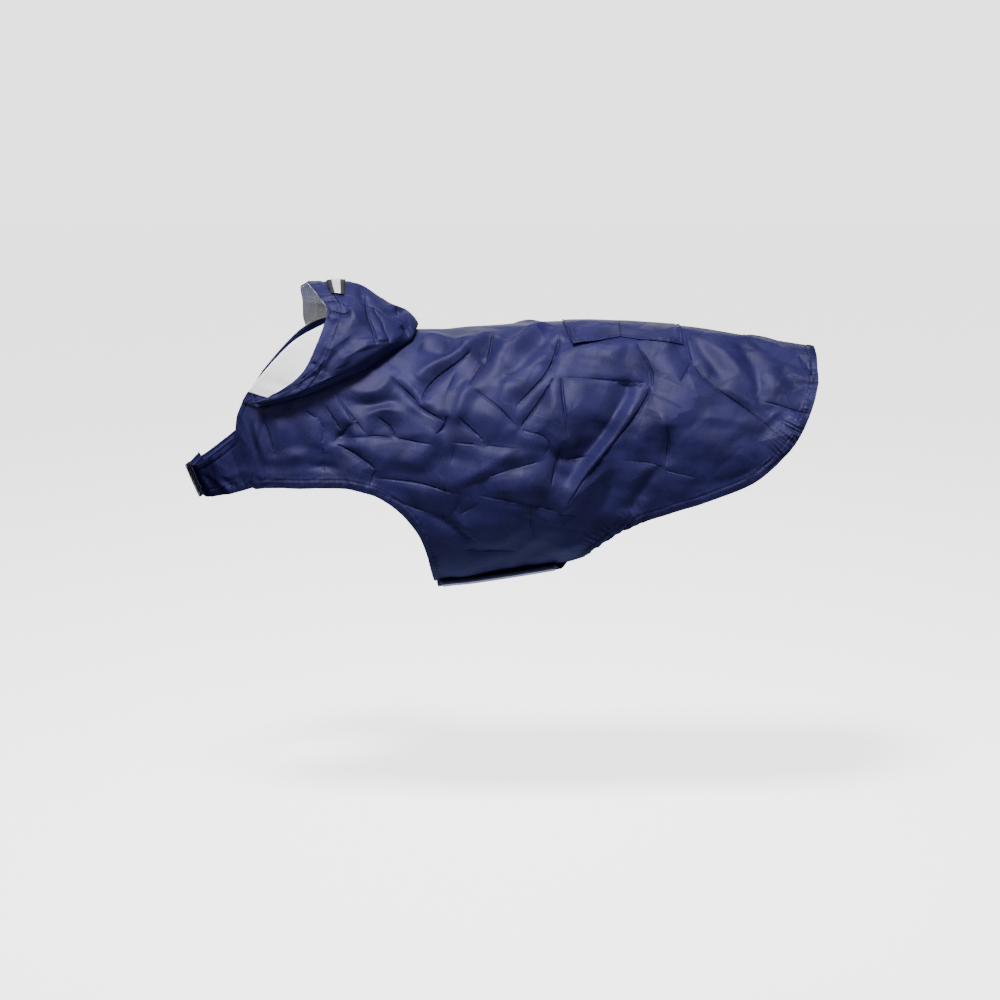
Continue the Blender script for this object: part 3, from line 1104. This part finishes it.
def perforated_mesh(name, hole_colour, yarn_colour):
    """Warp-knitted mesh: close-set small round holes in staggered rows, slightly shadowed."""
    made, tree, shader = new_finish(name)
    turned = add_node(tree, "ShaderNodeMapping", "Vector",
                      {"Vector": add_map(tree, "cloth_mm"), "Rotation": (0, 0, math.radians(45)),
                       "Scale": (1 / HOLE_PITCH_MM,) * 3})
    cells = add_node(tree, "ShaderNodeTexVoronoi", "Distance",
                     {"Vector": turned, "Scale": 1.0, "Randomness": 0.0},
                     feature="F1", voronoi_dimensions="2D")
    yarn = add_ramp(tree, cells, *HOLE_EDGE)
    tone = add_blend(tree, yarn, to_linear(hole_colour), to_linear(yarn_colour))
    bump = add_bump(tree, yarn, HOLE_RELIEF, strength=0.6)
    set_inputs(tree, shader, {"Base Color": tone, "Normal": bump, "Roughness": 0.75,
                              "Sheen Weight": 0.3})
    return made


white_mesh = perforated_mesh("white_knitted_mesh", "bcc1cf", "fdfdff")
lined = np.abs(hood_ribs) < LINING_END_RIB
lining_gap = LINING_GAP * (1 - LINING_SNUG * ramp(np.abs(hood_ribs), *LINING_SNUG_RIBS))
lining_points = (hood_points - hood_normals * (WALL + lining_gap)[:, None, None])[lined]
lining = make_sheet("hood_lining_mesh", lining_points, hood_chart[lined], LINING_WALL, white_mesh,
                    "hood_lining")


# ---------------------------------------------------------------------------------------------
# Reflective tapes. A black woven ribbon with a silver retroreflective strip bonded along its
# middle, sewn across the hood, and down the ends of the chest tab and the belly lap.

TAPE_GAP = 0.5 * MM
RIBBON_WALL = 0.5 * MM
SILVER_GAP = 0.15 * MM
SILVER_WALL = 0.25 * MM
SILVER_SHARE = 0.48
OVER_CREASES = 1.0 * MM
OVER_HEM = 0.6 * MM
HOOD_TAPE_MIDDLE = 0.895
HOOD_TAPE_HALF = 0.034
HOOD_TAPE_END_RIB = 0.985
TAB_TAPE_MIDDLE = 0.11
TAB_TAPE_HALF = 0.09
TAB_TAPE_ENDS = (0.01, 0.99)
BELLY_TAPE_STATIONS = (5.68, 8.24)
BELLY_TAPE_MIDDLE_DEG = 193.4
BELLY_TAPE_HALF_DEG = 5.9
TAPE_STEPS, BELLY_TAPE_STEPS = 60, 90
TAPE_ACROSS = np.linspace(-1, 1, 9)
RIBBON_RELIEF = 0.0001
RIBBON_SHADE = 0.85


def woven_ribbon(name, colour, rough, rib_mm, gleam=0.0):
    """Woven ribbon: fine ribs across its width."""
    made, tree, shader = new_finish(name)
    place = add_map(tree, "cloth_mm")
    ribs = add_node(tree, "ShaderNodeTexWave", "Fac", {"Vector": place, "Scale": WAVE_UNIT / rib_mm},
                    bands_direction="DIAGONAL")
    grain = add_noise(tree, place, 1.4, Detail=2.0)
    bump = add_bump(tree, add_maths(tree, "ADD", ribs, grain), RIBBON_RELIEF, strength=0.4)
    light = to_linear(colour)
    dark = tuple(c * RIBBON_SHADE for c in light[:3]) + (1.0,)
    tone = add_blend(tree, grain, dark, light)
    set_inputs(tree, shader, {"Base Color": tone, "Normal": bump, "Roughness": rough, "Metallic": gleam})
    return made


black_ribbon = woven_ribbon("black_woven_ribbon", "17171b", 0.7, 0.9)
silver_tape = woven_ribbon("silver_reflective_tape", "d6dade", 0.38, 0.6, 0.25)


def hood_tape(share, lift):
    alongs = HOOD_TAPE_MIDDLE + HOOD_TAPE_HALF * share * TAPE_ACROSS
    ribs = np.linspace(-HOOD_TAPE_END_RIB, HOOD_TAPE_END_RIB, TAPE_STEPS)
    points, chart = hood_grid(ribs, alongs)[:2]
    return points + sheet_normals(points) * (lift + OVER_CREASES), chart


def tab_tape(share, lift):
    overs = 1 - TAB_TAPE_MIDDLE + TAB_TAPE_HALF * share * TAPE_ACROSS
    grid = np.meshgrid(np.linspace(*TAB_TAPE_ENDS, TAPE_STEPS), overs, indexing="ij")
    return chest_tab(*grid, 1, lift + OVER_HEM), tab_chart(*grid, 1)


def belly_tape(share, lift):
    degrees = BELLY_TAPE_MIDDLE_DEG + BELLY_TAPE_HALF_DEG * share * TAPE_ACROSS
    grid = np.meshgrid(np.linspace(*BELLY_TAPE_STATIONS, BELLY_TAPE_STEPS), degrees, indexing="ij")
    return coat(*grid, belly_lift(grid[1]) + lift + OVER_HEM), trunk_chart(*grid)


for place, laid, length, width in (("hood", hood_tape, 0.085, 0.019), ("chest", tab_tape, 0.058, 0.022),
                                   ("belly", belly_tape, 0.135, 0.025)):
    for layer, share, low, wall, cloth in (
            ("base", 1.0, TAPE_GAP, RIBBON_WALL, black_ribbon),
            ("silver", SILVER_SHARE, TAPE_GAP + RIBBON_WALL + SILVER_GAP, SILVER_WALL, silver_tape)):
        name = place + "_tape_" + layer
        tape = make_sheet(name + "_strip", *laid(share, low + wall), wall, cloth, name)


# ---------------------------------------------------------------------------------------------
# Pocket. A patch lies over the spine behind the middle of the back, and a flap in front of it,
# sewn down along its rear edge, stands off the coat towards its front corners.

FLAP_FRONT = 8.46
FLAP_SLANT = 0.22
FLAP_REAR = 9.64
FLAP_CURVE = 1.5
SEWN_GAP = 0.008
POCKET_REAR = 10.83
FLAP_FRONT_DEG = 32.4
FLAP_REAR_DEG = 26.0
POCKET_REAR_DEG = 29.4
PATCH_LIFT = 1.2 * MM
FLAP_STAND = 4.0 * MM
FLAP_MIDDLE_SHARE = 0.08
POCKET_STITCH_MM = 3.0
POCKET_GRID = (70, 110)

u, v = np.meshgrid(np.linspace(0, 1, POCKET_GRID[0]), np.linspace(-1, 1, POCKET_GRID[1]), indexing="ij")
slant = FLAP_SLANT * np.abs(v) ** FLAP_CURVE * (1 - u)
flap_grid = (FLAP_FRONT + slant + (FLAP_REAR - FLAP_FRONT) * u,
             v * (FLAP_FRONT_DEG + (FLAP_REAR_DEG - FLAP_FRONT_DEG) * u))
stand = FLAP_MIDDLE_SHARE + (1 - FLAP_MIDDLE_SHARE) * v ** 2
patch_grid = (FLAP_REAR + SEWN_GAP + (POCKET_REAR - FLAP_REAR - SEWN_GAP) * u,
              v * (FLAP_REAR_DEG + (POCKET_REAR_DEG - FLAP_REAR_DEG) * u))
for name, grid, lift, flat in (
        ("pocket_flap", flap_grid, PATCH_LIFT + FLAP_STAND * (1 - u) ** FLAP_CURVE * stand, (0.125, 0.060)),
        ("pocket_patch", patch_grid, PATCH_LIFT + 0 * u, (0.110, 0.065))):
    points = coat(*grid, lift)
    to_free_edge = points[::-1] if name == "pocket_flap" else points
    border = np.concatenate([to_free_edge[:, 0], to_free_edge[-1, 1:], to_free_edge[-2::-1, -1]])
    away, run = from_border(points, border)
    relief = hem_relief(away, run, width=3.5, thick=0.35, pucker=0.22, spacing=9.0, seed=31.0)
    points += sheet_normals(points) * (relief * MM)[..., None]
    piece = make_sheet(name + "_cloth", points, trunk_chart(*grid), WALL, navy_cloth, name,
                       stitch_chart(away, run, POCKET_STITCH_MM))


# ---------------------------------------------------------------------------------------------
# Studio. A pale floor and backdrop, soft lights of which the key hangs above the near side, and the
# camera, which looks a little down on the left side.

CAMERA_PLACE = (0.0, -2.8, 0.338)
CAMERA_TILT = math.radians(90 - 10.97)
CAMERA_LENS = 86.9
SENSOR_WIDTH = 36.0
FLOOR_HEIGHT = -0.585
FLOOR_HALF = 9.0
FLOOR_GLOW = 2.55
BACKDROP_STRENGTH = 2.63
WHITE = (1.0, 1.0, 1.0, 1.0)

floor_mesh = bpy.data.meshes.new("studio_floor")
maker = bmesh.new()
bmesh.ops.create_grid(maker, x_segments=1, y_segments=1, size=FLOOR_HALF)
bmesh.ops.translate(maker, verts=maker.verts, vec=(0, 0, FLOOR_HEIGHT))
maker.to_mesh(floor_mesh)
maker.free()
floor = bpy.data.objects.new("studio_floor", floor_mesh)
bpy.context.scene.collection.objects.link(floor)
floor_paint, tree, shader = new_finish("pale_floor_paint")
set_inputs(tree, shader, {"Base Color": to_linear("f4f4f4"), "Roughness": 0.9,
                          "Emission Color": WHITE, "Emission Strength": FLOOR_GLOW})
floor_mesh.materials.append(floor_paint)
floor.visible_diffuse = False
floor.visible_glossy = False

# The backdrop is plain white air. Neither it nor the floor lights the coat: the lamps alone do.
world = bpy.data.worlds.new("studio_air")
bpy.context.scene.world = world
world.use_nodes = True
set_inputs(world.node_tree, world.node_tree.nodes["Background"].inputs,
           {"Color": WHITE, "Strength": BACKDROP_STRENGTH})
world.cycles_visibility.diffuse = False
world.cycles_visibility.glossy = False

# Each lamp: its place, what it aims at, its size in metres, watts, spread in degrees, and tint.
for name, place, aim, size, power, spread, tint in (
        ("key_softbox", (-0.4, -1.25, 2.3), (0.0, 0.0, -0.1), 0.6, 36, 80, "ffffff"),
        ("back_softbox", (0.3, 1.3, 2.0), (0.05, 0.0, -0.05), 1.5, 1.2, 110, "ffffff"),
        ("front_fill", (-2.0, -2.2, 0.7), (-0.1, 0.0, -0.1), 1.6, 9.5, 110, "ffffff"),
        ("rear_fill", (2.6, -1.5, 0.8), (0.1, 0.0, -0.1), 1.8, 12, 110, "ffffff"),
        ("far_fill", (0.0, 2.8, 0.8), (0.0, 0.0, -0.1), 1.8, 9, 110, "ffffff"),
        ("under_fill", (0.1, -0.1, -0.57), (0.1, -0.1, 0.0), 1.0, 2.4, 140, "c2cbff")):
    lamp = bpy.data.lights.new(name, "AREA")
    lamp.energy = power
    lamp.color = to_linear(tint)[:3]
    lamp.size = size
    lamp.spread = math.radians(spread)
    light = bpy.data.objects.new(name, lamp)
    light.visible_camera = False
    light.location = place
    light.rotation_euler = (Vector(aim) - Vector(place)).to_track_quat("-Z", "Y").to_euler()
    bpy.context.scene.collection.objects.link(light)

camera = bpy.data.objects.new("studio_camera", bpy.data.cameras.new("studio_camera"))
camera.data.lens = CAMERA_LENS
camera.data.sensor_width = SENSOR_WIDTH
camera.location = CAMERA_PLACE
camera.rotation_euler = (CAMERA_TILT, 0.0, 0.0)
bpy.context.scene.collection.objects.link(camera)
bpy.context.scene.camera = camera
